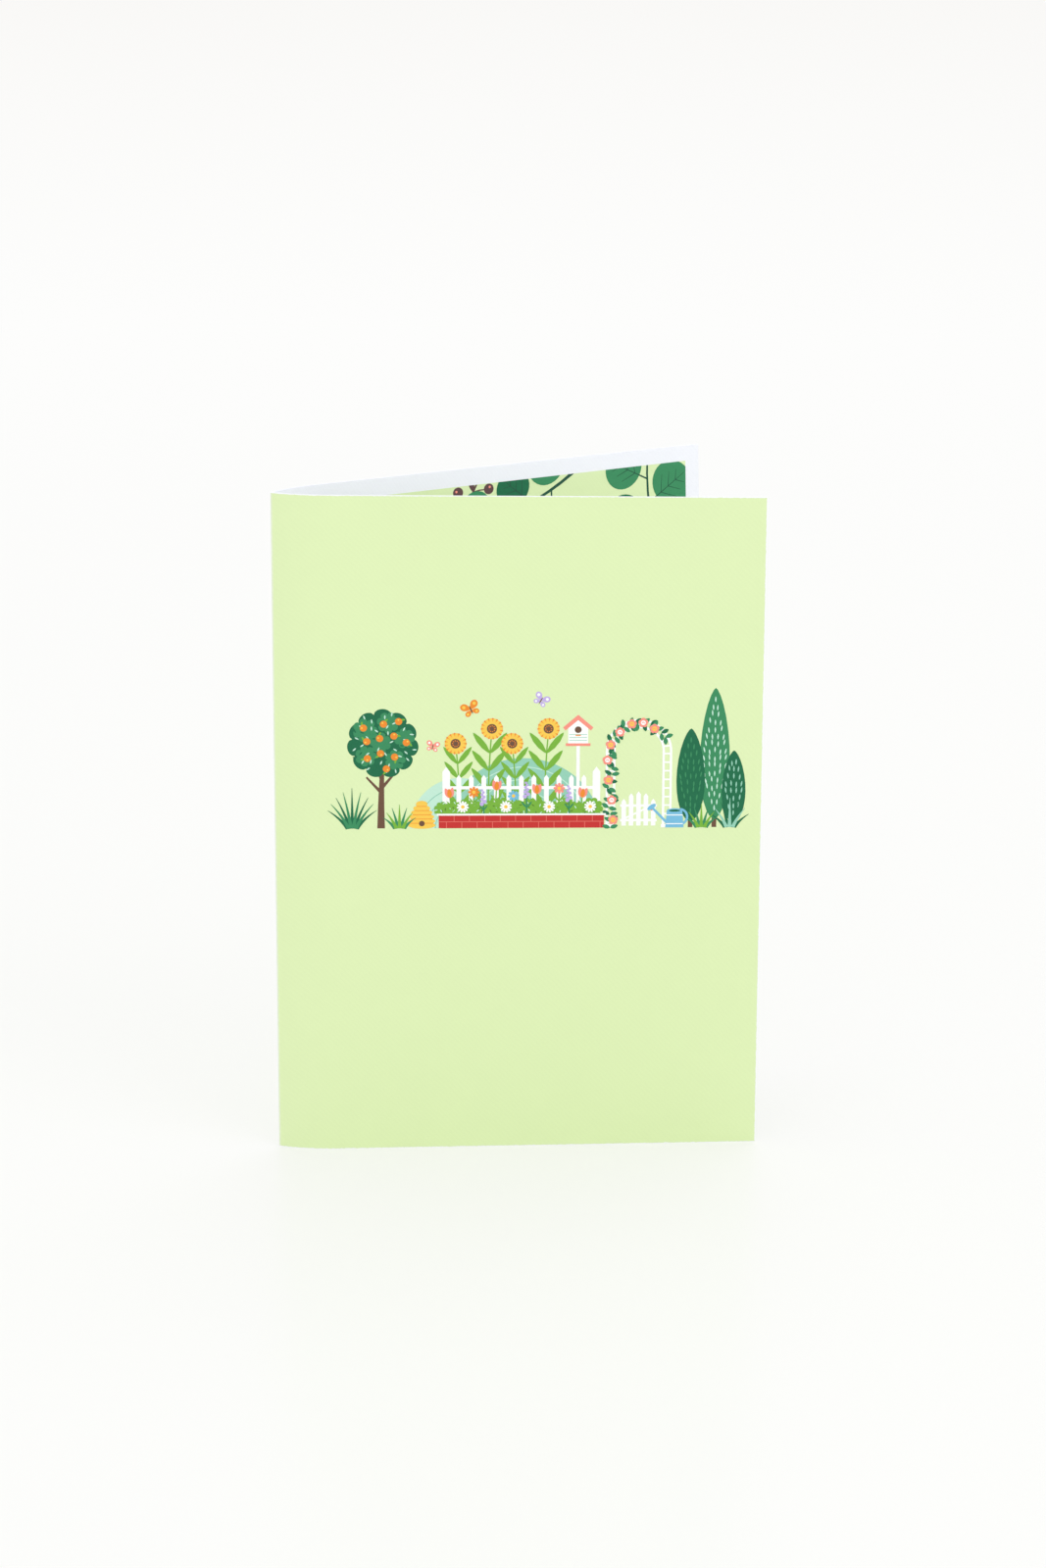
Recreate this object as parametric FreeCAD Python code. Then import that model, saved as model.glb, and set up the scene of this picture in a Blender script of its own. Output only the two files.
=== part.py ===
"""A greeting card: one sheet of white board, folded once and stood open on its bottom edges.

Millimetres, +Z up. The origin is the foot of the fold at mid-thickness, and the Z axis runs up the fold.
The cover faces -Y and runs along +X, and the back panel opens away behind it, towards +Y.
"""
import FreeCAD, Part
import math
import os

from FreeCAD import Vector

# The sheet, as it was cut
PANEL_WIDTH = 127.0
CARD_HEIGHT = 177.8
BOARD_THICKNESS = 0.5

# The fold is a tight crease, and each panel bows outwards beside it before it runs flat to its free edge
CREASE_INNER_RADIUS = 0.25
BOW_LENGTH = 15.0
BOW_ANGLE = 21.0

# The panels stand open by this angle at mid-height, each sprung further out at its top by the flare
# and held in by as much at its bottom
OPENING_ANGLE = 24.0
FLARE_ANGLE = 2.0

# Worked out from the sizes above, at mid-thickness
HALF_THICKNESS = BOARD_THICKNESS / 2
HALF_OPENING = OPENING_ANGLE / 2
CREASE_RADIUS = CREASE_INNER_RADIUS + HALF_THICKNESS
BOW_RADIUS = BOW_LENGTH / math.radians(BOW_ANGLE)

ORIGIN = Vector(0, 0, 0)
ACROSS = Vector(0, 1, 0)
UP = Vector(0, 0, 1)


def along(heading):
    """The unit vector that points along a heading, in degrees from +X."""
    turn = math.radians(heading)
    return Vector(math.cos(turn), math.sin(turn), 0)


def outwards(heading):
    """The unit vector at right angles to a heading of the cover, on the printed outside."""
    return along(heading - 90)


def arc(centre, radius, start_heading, end_heading):
    """The arc of a line that bends from one heading to another about a centre on its inside."""
    headings = (start_heading, (start_heading + end_heading) / 2, end_heading)
    return Part.Arc(*[centre + outwards(heading) * radius for heading in headings]).toShape()


def sheet_line(half_angle, offset):
    """The sheet's section, at an offset outwards from mid-thickness, as edges from back panel to cover.

    +X halves the opening here. The cover's flat run turns from +X by the half angle, towards -Y.
    """
    flat_heading = -half_angle
    bow_heading = flat_heading - BOW_ANGLE
    crease_centre = Vector(CREASE_RADIUS, 0, 0)
    bow_centre = crease_centre + outwards(bow_heading) * (CREASE_RADIUS - BOW_RADIUS)
    half_crease_length = CREASE_RADIUS * math.radians(90 + bow_heading)
    flat_length = PANEL_WIDTH - BOW_LENGTH - half_crease_length
    flat_start = bow_centre + outwards(flat_heading) * (BOW_RADIUS + offset)
    cover = [
        arc(bow_centre, BOW_RADIUS + offset, bow_heading, flat_heading),
        Part.makeLine(flat_start, flat_start + along(flat_heading) * flat_length),
    ]
    back_panel = [edge.mirror(ORIGIN, ACROSS) for edge in reversed(cover)]
    crease = arc(crease_centre, CREASE_RADIUS + offset, -180 - bow_heading, bow_heading)
    return back_panel + [crease] + cover


def free_end(flat_run):
    """The end of a flat run that is away from the fold."""
    return flat_run.Vertexes[-1].Point


def section(half_angle, height):
    """The closed outline of the sheet, cut level at a height."""
    outside = sheet_line(half_angle, HALF_THICKNESS)
    inside = sheet_line(half_angle, -HALF_THICKNESS)
    cover_cut = Part.makeLine(free_end(outside[-1]), free_end(inside[-1]))
    back_cut = Part.makeLine(free_end(inside[0]), free_end(outside[0]))
    outline = Part.Wire(outside + [cover_cut] + inside[::-1] + [back_cut])
    outline.translate(UP * height)
    return outline


def make_card():
    """The whole sheet: straight lines up each panel join its section at the foot to the wider one on top."""
    foot = section(HALF_OPENING - FLARE_ANGLE, 0)
    top = section(HALF_OPENING + FLARE_ANGLE, CARD_HEIGHT)
    card = Part.makeLoft([foot, top], True, True)
    return card.rotate(ORIGIN, UP, HALF_OPENING)


os.makedirs("parts", exist_ok=True)
make_card().exportStep("parts/card.step")
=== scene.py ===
import random
from math import atan2, copysign, cos, pi, radians, sin, sqrt

import bmesh
import bpy
from bpy.props import FloatProperty, FloatVectorProperty, PointerProperty
from mathutils import Matrix, Vector


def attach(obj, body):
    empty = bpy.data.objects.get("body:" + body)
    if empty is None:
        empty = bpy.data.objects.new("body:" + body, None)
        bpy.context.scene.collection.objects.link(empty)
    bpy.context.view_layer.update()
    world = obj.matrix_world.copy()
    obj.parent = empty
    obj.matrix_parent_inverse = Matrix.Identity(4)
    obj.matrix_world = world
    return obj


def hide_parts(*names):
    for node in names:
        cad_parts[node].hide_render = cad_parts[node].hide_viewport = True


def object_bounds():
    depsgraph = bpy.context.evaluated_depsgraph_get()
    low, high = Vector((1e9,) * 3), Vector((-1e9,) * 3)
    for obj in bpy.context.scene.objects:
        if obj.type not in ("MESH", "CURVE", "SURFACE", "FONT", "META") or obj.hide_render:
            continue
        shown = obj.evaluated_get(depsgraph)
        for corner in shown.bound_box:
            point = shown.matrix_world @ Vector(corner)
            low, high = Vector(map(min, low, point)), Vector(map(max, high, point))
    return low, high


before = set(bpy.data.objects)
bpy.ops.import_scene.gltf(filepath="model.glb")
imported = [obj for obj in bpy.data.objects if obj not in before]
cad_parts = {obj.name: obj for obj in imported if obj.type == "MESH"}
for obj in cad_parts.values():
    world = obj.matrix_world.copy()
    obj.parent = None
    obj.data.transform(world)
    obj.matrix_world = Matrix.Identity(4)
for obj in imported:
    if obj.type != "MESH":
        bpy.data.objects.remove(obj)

bl_info = {
    "name": "Greeting Card",
    "version": (1, 0, 0),
    "blender": (4, 5, 0),
    "location": "3D View > Sidebar > Card",
    "description": "Dresses a folded greeting card with its board, its printed garden and a studio",
    "category": "Object",
}

MM = 0.001
BODY = "root"
NODE = "card"
SHEET_MAP = "Sheet"
CAD_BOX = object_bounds()
CARD_HEIGHT = (CAD_BOX[1].z - CAD_BOX[0].z) / MM
X, Y, Z = Vector((1, 0, 0)), Vector((0, 1, 0)), Vector((0, 0, 1))

# How the mesh of a panel is cut: across half of the crease, its bow and its flat, and up from the foot
CREASE_CUTS = 10
BOW_CUTS = 24
FLAT_CUTS = 16
ROWS = 24
# How near to a cut a corner counts as on it, in millimetres
ON_LINE = 0.0001

# Grain of the paper and of its print, in cells or bands a metre
FIBRES = 2400
FLAKES = 900
SCREEN = 420
MOTTLE = 70
# How much the grain lightens and darkens the paper, as shares of its colour
FIBRE_CONTRAST = 0.02
SCREEN_CONTRAST = 0.005
MOTTLE_CONTRAST = 0.01
# How deep the fibres dimple the paper, in millimetres, and how far they change its roughness
FIBRE_DEPTH = 0.02
FIBRE_ROUGHNESS = 0.06
# How rough the bare board, the ink and the floor are, and how little the card mirrors
BOARD_ROUGHNESS = 0.66
INK_ROUGHNESS = 0.52
FLOOR_ROUGHNESS = 0.26
CARD_SPECULAR = 0.25
# Wear of the ink, in millimetres: how far its chips reach in from a cut edge, where a number under 0 leaves
# the edge whole, how soft their border is, and where the rub beside the fold starts to fade and ends. The
# rub is partly wear and partly a painted highlight along the fold
CHIPS = (-0.14, 0.34)
CHIP_BORDER = 0.05
RUB_AND_HIGHLIGHT_START = 0.2
RUB_AND_HIGHLIGHT_END = 0.6
# How much of the board the rub bares at the fold, a pale band that is partly wear and partly a painted
# highlight, and the shares of that in its faintest and strongest spots
RUB_AND_HIGHLIGHT = 0.5
RUB_AND_HIGHLIGHT_SPOTS = (0.2, 1.6)

# How far the floor lies under the card's foot, in millimetres
FLOOR_DROP = 0.02
# Share of the backdrop that shows in the floor beside the card
NEAR_BACKDROP = 0.6
# Where the floor starts to fade and where the backdrop gets its far colour, a painted shade that darkens it
# in the distance, as shares of the clear radius
FADE_START = 0.25
FAR_END = 2.4
# The floor's faint clouds, in cells a metre, and how much of its colour stays in the darkest
CLOUDS = 3.0
CLOUD_SHARE = 0.985
# Each softbox, its place and the setting that holds its power
SOFTBOXES = (
    ("softbox_left", (-0.7, -1.25, 0.45), "left_power"),
    ("softbox_right", (1.1, -0.9, 1.05), "right_power"),
    ("softbox_behind", (0.3, 0.7, 1.5), "back_power"),
)
# Width of the camera's sensor, in millimetres
SENSOR = 36

# First layer of ink of the garden's parts, from the farthest to the flowers in front
FAR = 0
BEHIND = 4
FENCE = 8
NEAR = 10
FRONT = 13
# The garden wall, its coping and the coping's middle over the wall, in millimetres
WALL_HEIGHT = 3.5
COPING = 0.5
COPING_RISE = 0.2
WALL_TOP = WALL_HEIGHT + COPING_RISE + COPING / 2
# How far over the ground line the hedge, the flowers and the sunflowers start, behind the wall
HEDGE_FOOT = 3.6
FLOWER_FOOT = 3.2
SUNFLOWER_FOOT = 3.0
# The turn from each leaf or fruit to the next that spreads them evenly over a round crown, in degrees
GOLDEN_TURN = 137.5


def linear(red, green, blue):
    """A colour from 0 to 255, as a screen shows it, in Blender's linear values."""
    def channel(value):
        share = value / 255
        return share / 12.92 if share <= 0.04045 else ((share + 0.055) / 1.055) ** 2.4
    return channel(red), channel(green), channel(blue)


def amount(name, description, default, unit="NONE", **limits):
    """A number in Blender's own unit."""
    return FloatProperty(
        name=name, description=description, default=default, precision=5, unit=unit, **limits)


def length(name, description, millimetres):
    """A length of the card, given in millimetres and held in metres."""
    return amount(name, description, millimetres * MM, "LENGTH", min=0)


def angle(name, description, degrees):
    """An angle, given in degrees and held in radians."""
    return amount(name, description, radians(degrees), "ROTATION")


def colour(name, description, *shown):
    """A colour, given as a screen shows it."""
    return FloatVectorProperty(
        name=name, description=description, default=linear(*shown), min=0, max=1, subtype="COLOR")


def in_millimetres(settings, *names):
    """Some lengths among the settings, in millimetres."""
    return [getattr(settings, name) / MM for name in names]


class SheetSettings(bpy.types.PropertyGroup):
    """The board, its fold and the borders of its inside print"""

    panel_width: length("Panel width", "Width of the closed card", 127.0)
    thickness: length("Board thickness", "Thickness of the board", 0.5)
    crease_inner_radius: length("Crease radius", "Inner radius of the crease", 0.25)
    bow_length: length("Bow length", "Stretch beside the crease over which a panel bows outwards", 15.0)
    bow_angle: angle("Bow angle", "Turn of a panel over its bow", 21.0)
    opening: angle("Opening", "Angle between the panels at mid-height", 24.0)
    flare: angle("Flare", "Extra spring of each panel at its top, taken off at its foot", 2.0)
    top_border_at_fold: length("Top border at the fold", "White above the field, at the fold", 4.9)
    top_border_at_edge: length("Top border at the edge", "White above the field, at the free edge", 4.1)
    side_border: length("Side border", "White beside the inside field", 4.0)
    foot_border: length("Foot border", "White below the inside field", 4.4)


class InkSettings(bpy.types.PropertyGroup):
    """The board's white and the inks of the print"""

    board: colour("Board", "White of the uncoated board", 247, 248, 254)
    lime: colour("Pale lime", "Ground of the cover and of the inside field", 224, 241, 186)
    white: colour("White", "Fence, arbour and bird house", 253, 254, 252)
    deep: colour("Deep green", "Darkest leaves", 26, 108, 72)
    leaf: colour("Leaf green", "Middle leaves", 58, 141, 94)
    fresh: colour("Fresh green", "Hedge and flower leaves", 122, 180, 62)
    olive: colour("Olive green", "Shadows in the hedge", 84, 124, 44)
    mint: colour("Mint", "Leaf lights and a far hill", 196, 234, 214)
    mist: colour("Misty teal", "A far hill, the bird house's boards and grey leaf lights", 150, 208, 184)
    brick: colour("Brick red", "Garden wall", 200, 50, 48)
    mortar: colour("Mortar", "Joints of the garden wall", 226, 112, 100)
    orange: colour("Orange", "Fruit and petals", 240, 142, 48)
    yellow: colour("Yellow", "Petals and hive", 250, 204, 84)
    coral: colour("Coral", "Roses and roof", 250, 150, 134)
    lilac: colour("Lilac", "Lavender and a butterfly", 196, 176, 232)
    sky: colour("Sky blue", "Watering can and blue daisies", 122, 190, 224)
    bark: colour("Bark", "Trunks and flower hearts", 110, 80, 62)
    plum: colour("Plum", "Berry twigs of the inside page", 98, 70, 72)
    shade: colour("Leaf shade", "Branches and veins of the inside leaves", 34, 84, 64)


class GardenSettings(bpy.types.PropertyGroup):
    """Where the printed garden stands on the cover, across from the fold and up from the foot"""

    ground: length("Ground", "Height of the garden's ground line", 89.0)
    tree: length("Fruit tree", "Place of the fruit tree's trunk", 28.0)
    hive: length("Hive", "Place of the bee hive", 38.6)
    fence_start: length("Fence start", "First post of the picket fence", 45.0)
    fence_end: length("Fence end", "Last post of the picket fence", 84.0)
    bird_house: length("Bird house", "Place of the bird house's pole", 79.2)
    arbour: length("Arbour", "Middle of the garden arch", 95.0)
    cypresses: length("Cypresses", "Place of the first cypress", 108.5)


class StageSettings(bpy.types.PropertyGroup):
    """The camera and the studio"""

    lens: amount("Lens", "Focal length on a sensor 36 mm long", 105.3, "CAMERA")
    camera_place: FloatVectorProperty(
        name="Camera", description="Place of the camera", default=(0.0399, -1.1472, 0.4327),
        subtype="TRANSLATION")
    camera_pitch: angle("Camera pitch", "How far the camera looks down", 16.173)
    camera_heading: angle("Camera heading", "How far the camera looks to the right", 1.225)
    camera_roll: angle("Camera roll", "Anticlockwise turn of the camera about its line of sight", 0.114)
    floor_radius: amount("Floor radius", "Radius of the floor", 6.0, "LENGTH")
    clear_radius: amount("Clear radius", "Radius past which only the backdrop shows", 1.2, "LENGTH")
    backdrop: colour("Backdrop", "Colour of the backdrop as the camera sees it", 253, 253, 252)
    # Painted shade: the backdrop is darker in the distance, where the studio light falls off
    shaded_far_backdrop: colour("Far backdrop", "Colour of the backdrop in the distance", 249, 248, 246)
    floor: colour("Floor", "Colour of the floor", 244, 244, 240)
    sky: colour("Sky colour", "Colour of the light from all round", 252, 253, 255)
    sky_strength: amount("Sky", "Strength of the light from all round", 0.9)
    softbox: amount("Softbox", "Width of a softbox", 1.1, "LENGTH")
    left_power: amount("Left softbox", "Power of the softbox in front on the left", 2.7, "POWER")
    right_power: amount("Right softbox", "Power of the softbox high on the right", 4.3, "POWER")
    back_power: amount("Back softbox", "Power of the softbox high behind the card", 4.2, "POWER")


class Fold:
    """Where the points of the flat sheet go when it is folded, in millimetres, as in the CAD node."""

    def __init__(self, settings):
        self.width, self.thickness, self.bow_length, inner_radius = in_millimetres(
            settings, "panel_width", "thickness", "bow_length", "crease_inner_radius")
        self.crease_radius = inner_radius + self.thickness / 2
        self.bow_angle = settings.bow_angle
        self.bow_radius = self.bow_length / self.bow_angle
        self.half_opening = settings.opening / 2
        self.flare = settings.flare

    def crease_length(self, half_angle):
        """Length of one panel's half of the crease, at mid-thickness."""
        return self.crease_radius * (pi / 2 - half_angle - self.bow_angle)

    def across_lines(self):
        """Where the mesh of a panel is cut, across from the fold: closely where the sheet bends."""
        crease = self.crease_length(self.half_opening)
        bow_end = crease + self.bow_length
        bent = steps(0, crease, CREASE_CUTS) + steps(crease, bow_end, BOW_CUTS)[1:]
        return bent + steps(bow_end, self.width, FLAT_CUTS)[1:-1]

    def up_lines(self):
        """Where the mesh of a panel is cut, up from the foot."""
        return steps(0, CARD_HEIGHT, ROWS)[1:-1]

    def section_point(self, half_angle, distance, offset):
        """A point of the cover's section, in a frame whose +X halves the opening."""
        flat_heading = -half_angle
        bow_heading = flat_heading - self.bow_angle
        crease = self.crease_length(half_angle)
        centre = Vector((self.crease_radius, 0))
        if distance <= crease:
            heading = distance / self.crease_radius - pi / 2
            return centre + outwards(heading) * (self.crease_radius + offset)
        centre += outwards(bow_heading) * (self.crease_radius - self.bow_radius)
        if distance <= crease + self.bow_length:
            heading = bow_heading + (distance - crease) / self.bow_radius
            return centre + outwards(heading) * (self.bow_radius + offset)
        start = centre + outwards(flat_heading) * (self.bow_radius + offset)
        ahead = Vector((cos(flat_heading), sin(flat_heading)))
        return start + ahead * (distance - crease - self.bow_length)

    def point(self, across, up, offset):
        """The place, in metres, of a point of the flat sheet. The cover is the positive way across."""
        foot, top = (
            self.section_point(self.half_opening + spring, abs(across), offset)
            for spring in (-self.flare, self.flare))
        spot = foot.lerp(top, up / CARD_HEIGHT)
        if across < 0:
            spot.y = -spot.y
        turned = Matrix.Rotation(self.half_opening, 2) @ spot
        return Vector((turned.x, turned.y, up)) * MM


def outwards(heading):
    """The unit vector at right angles to a heading, on the cover's printed side."""
    return Vector((sin(heading), -cos(heading)))


def add_node(tree, kind, settings=(), **inputs):
    """A shader node, with its settings and its inputs.

    An input is a value or another node's output. It has the node's own name for it, or its number after _.
    """
    node = tree.nodes.new(kind)
    for name, value in dict(settings).items():
        setattr(node, name, value)
    for name, value in inputs.items():
        number = name[1:]
        socket = node.inputs[int(number) if number.isdigit() else name.replace("_", " ")]
        if isinstance(value, bpy.types.NodeSocket):
            tree.links.new(value, socket)
        else:
            socket.default_value = value
    return node


def new_material(name):
    """An empty node material and its tree."""
    made = bpy.data.materials.new(name)
    made.use_nodes = True
    made.node_tree.nodes.clear()
    return made, made.node_tree


def maths(tree, operation, first, second=0.0):
    """The result of a sum in the shader."""
    return add_node(tree, "ShaderNodeMath", {"operation": operation}, _0=first, _1=second).outputs[0]


def noise(tree, coordinates, scale, detail=2.0, roughness=0.5):
    """A noise of so many cells a metre."""
    return add_node(
        tree, "ShaderNodeTexNoise", Vector=coordinates, Scale=scale, Detail=detail, Roughness=roughness
    ).outputs["Fac"]


def spread(tree, value, low, high, start=0.0, end=1.0):
    """A value from a start to an end, spread over another range and kept inside it."""
    return add_node(
        tree, "ShaderNodeMapRange", Value=value, From_Min=start, From_Max=end, To_Min=low, To_Max=high
    ).outputs[0]


def swing(tree, value, middle, reach):
    """A value from 0 to 1, turned into one that reaches as far under a middle as over it."""
    return spread(tree, value, middle - reach, middle + reach)


def scaled(tree, tint, level):
    """A colour times a level."""
    return add_node(tree, "ShaderNodeVectorMath", {"operation": "SCALE"}, _0=tint, Scale=level).outputs[0]


def paper_surface(tree, tint, roughness):
    """A paper shader: a tint with print mottle, over fibres that roughen and dimple it."""
    coordinates = add_node(tree, "ShaderNodeTexCoord").outputs["Object"]
    fibres = noise(tree, coordinates, FIBRES, 4, 0.65)
    mottle = noise(tree, coordinates, MOTTLE, 3)
    screen = add_node(
        tree, "ShaderNodeTexWave", {"bands_direction": "DIAGONAL"},
        Vector=coordinates, Scale=SCREEN, Distortion=1.5, Detail=1.0, Detail_Scale=0.6).outputs["Fac"]
    level = maths(
        tree, "ADD", swing(tree, mottle, 1, MOTTLE_CONTRAST), swing(tree, screen, 0, SCREEN_CONTRAST))
    level = maths(tree, "ADD", level, swing(tree, fibres, 0, FIBRE_CONTRAST))
    bump = add_node(
        tree, "ShaderNodeBump", Strength=0.35, Distance=FIBRE_DEPTH * MM, Height=fibres).outputs[0]
    return add_node(
        tree, "ShaderNodeBsdfPrincipled", Base_Color=scaled(tree, tint, level), Normal=bump,
        Specular_IOR_Level=CARD_SPECULAR, Roughness=swing(tree, fibres, roughness, FIBRE_ROUGHNESS)
    ).outputs[0]


def plain_paper(name, tint, roughness):
    """A paper of one colour: bare board, or board under flat ink."""
    made, tree = new_material(name)
    add_node(tree, "ShaderNodeOutputMaterial", Surface=paper_surface(tree, tint[:], roughness))
    return made


def cover_print(name, inks, fold):
    """Pale ink over the outside of the sheet, chipped at the cut edges and rubbed thin on the fold, where
    the paler band is also a painted highlight.
    """
    made, tree = new_material(name)
    on_sheet = add_node(tree, "ShaderNodeUVMap", {"uv_map": SHEET_MAP}).outputs[0]
    across, up, _ = add_node(tree, "ShaderNodeSeparateXYZ", Vector=on_sheet).outputs
    flakes = noise(tree, add_node(tree, "ShaderNodeTexCoord").outputs["Object"], FLAKES, 4, 0.7)

    def to_side(share, size):
        nearest = maths(tree, "MINIMUM", share, maths(tree, "SUBTRACT", 1.0, share))
        return maths(tree, "MULTIPLY", nearest, size)

    sheet_width = 2 * fold.width
    to_cut = maths(tree, "MINIMUM", to_side(across, sheet_width), to_side(up, CARD_HEIGHT))
    from_middle = maths(tree, "ABSOLUTE", maths(tree, "SUBTRACT", across, 0.5))
    from_fold = maths(tree, "MULTIPLY", from_middle, sheet_width)
    ragged = maths(tree, "SUBTRACT", to_cut, spread(tree, flakes, *CHIPS))
    chip = spread(tree, ragged, 1.0, 0.0, end=CHIP_BORDER)
    # Painted highlight: the board shows through along the fold, partly as wear and partly as the fold's lit
    # edge
    rub_and_highlight = spread(tree, from_fold, RUB_AND_HIGHLIGHT, 0.0, RUB_AND_HIGHLIGHT_START, RUB_AND_HIGHLIGHT_END)
    wear_and_highlight = maths(tree, "MAXIMUM", chip, maths(tree, "MULTIPLY", rub_and_highlight, spread(tree, flakes, *RUB_AND_HIGHLIGHT_SPOTS)))
    tint = add_node(
        tree, "ShaderNodeMix", {"data_type": "RGBA", "clamp_factor": True},
        _0=wear_and_highlight, _6=(*inks.lime, 1), _7=(*inks.board, 1)).outputs[2]
    add_node(tree, "ShaderNodeOutputMaterial", Surface=paper_surface(tree, tint, INK_ROUGHNESS))
    return made


def find_material(context, name):
    """The cover's print, the white board or an ink, made when it is first asked for."""
    known = bpy.data.materials.get(name)
    if known:
        return known
    inks = context.scene.card_inks
    if name == "cover_print":
        return cover_print(name, inks, Fold(context.scene.card_sheet))
    if name == "white_board":
        return plain_paper(name, inks.board, BOARD_ROUGHNESS)
    return plain_paper(name, getattr(inks, name.removeprefix("ink_")), INK_ROUGHNESS)


def new_piece(context, name, bm, materials):
    """A finished piece of the card: an object at the origin that rides with the card."""
    mesh = bpy.data.meshes.new(name)
    bm.to_mesh(mesh)
    bm.free()
    for each in materials:
        mesh.materials.append(find_material(context, each))
    piece = bpy.data.objects.new(name, mesh)
    context.scene.collection.objects.link(piece)
    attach(piece, BODY)
    return piece


def cut(bm, point, across, **options):
    """Cuts a flat mesh along the line through a point that a direction crosses squarely."""
    bmesh.ops.bisect_plane(
        bm, geom=bm.verts[:] + bm.edges[:] + bm.faces[:], dist=ON_LINE, plane_co=point, plane_no=across,
        **options)


def cut_lines(bm, axis, distances):
    """Cuts every face of a flat mesh where it crosses these distances along an axis."""
    for distance in distances:
        cut(bm, axis * distance, axis)


def trim(bm, point, inwards):
    """Takes away what lies on the far side of a line through a point."""
    cut(bm, point, inwards, clear_inner=True)


def steps(start, end, count):
    """Evenly spaced places from a start to an end, both included."""
    return [start + (end - start) * index / count for index in range(count + 1)]


def thicken(bm, top, bottom):
    """Makes a closed board of a flat mesh, smooth on both large sides and sharp round its cut edges."""
    under = bmesh.ops.extrude_face_region(bm, geom=bm.faces[:], use_keep_orig=True)["geom"]
    lower = {item for item in under if isinstance(item, bmesh.types.BMVert)}
    for vert in bm.verts:
        vert.co.z = bottom if vert in lower else vert.co.z + top
    bmesh.ops.recalc_face_normals(bm, faces=bm.faces[:])
    for face in bm.faces:
        face.smooth = abs(face.normal.z) > 0.5
        if not face.smooth:
            for line in face.edges:
                line.smooth = False
    order_faces(bm)


def order_faces(bm):
    """Sorts the faces by their corners, because an extrusion leaves them in a new order each run."""
    bm.verts.index_update()
    count = len(bm.verts)

    def rank(face):
        first, second, third = sorted(vert.index for vert in face.verts)[:3]
        return (first * count + second) * count + third

    bm.faces.sort(key=rank)


def lay_on_sheet(bm, fold, to_sheet):
    """Gives a flat mesh its place on the sheet as a UV map, then folds it with the sheet.

    to_sheet turns a flat point into a distance across from the fold, a height and an offset outwards.
    """
    sheet_map = bm.loops.layers.uv.new(SHEET_MAP)
    for face in bm.faces:
        for loop in face.loops:
            across, up, _ = to_sheet(loop.vert.co)
            loop[sheet_map].uv = (across / fold.width + 1) / 2, up / CARD_HEIGHT
    for vert in bm.verts:
        vert.co = fold.point(*to_sheet(vert.co))


def place(x, y, turn=0.0, size=1.0):
    """Puts a motif at a point of the panel, turned anticlockwise in degrees."""
    turned = Matrix.Rotation(radians(turn), 4, "Z")
    return Matrix.Translation((x, y, 0)) @ turned @ Matrix.Scale(size, 4)


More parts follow.
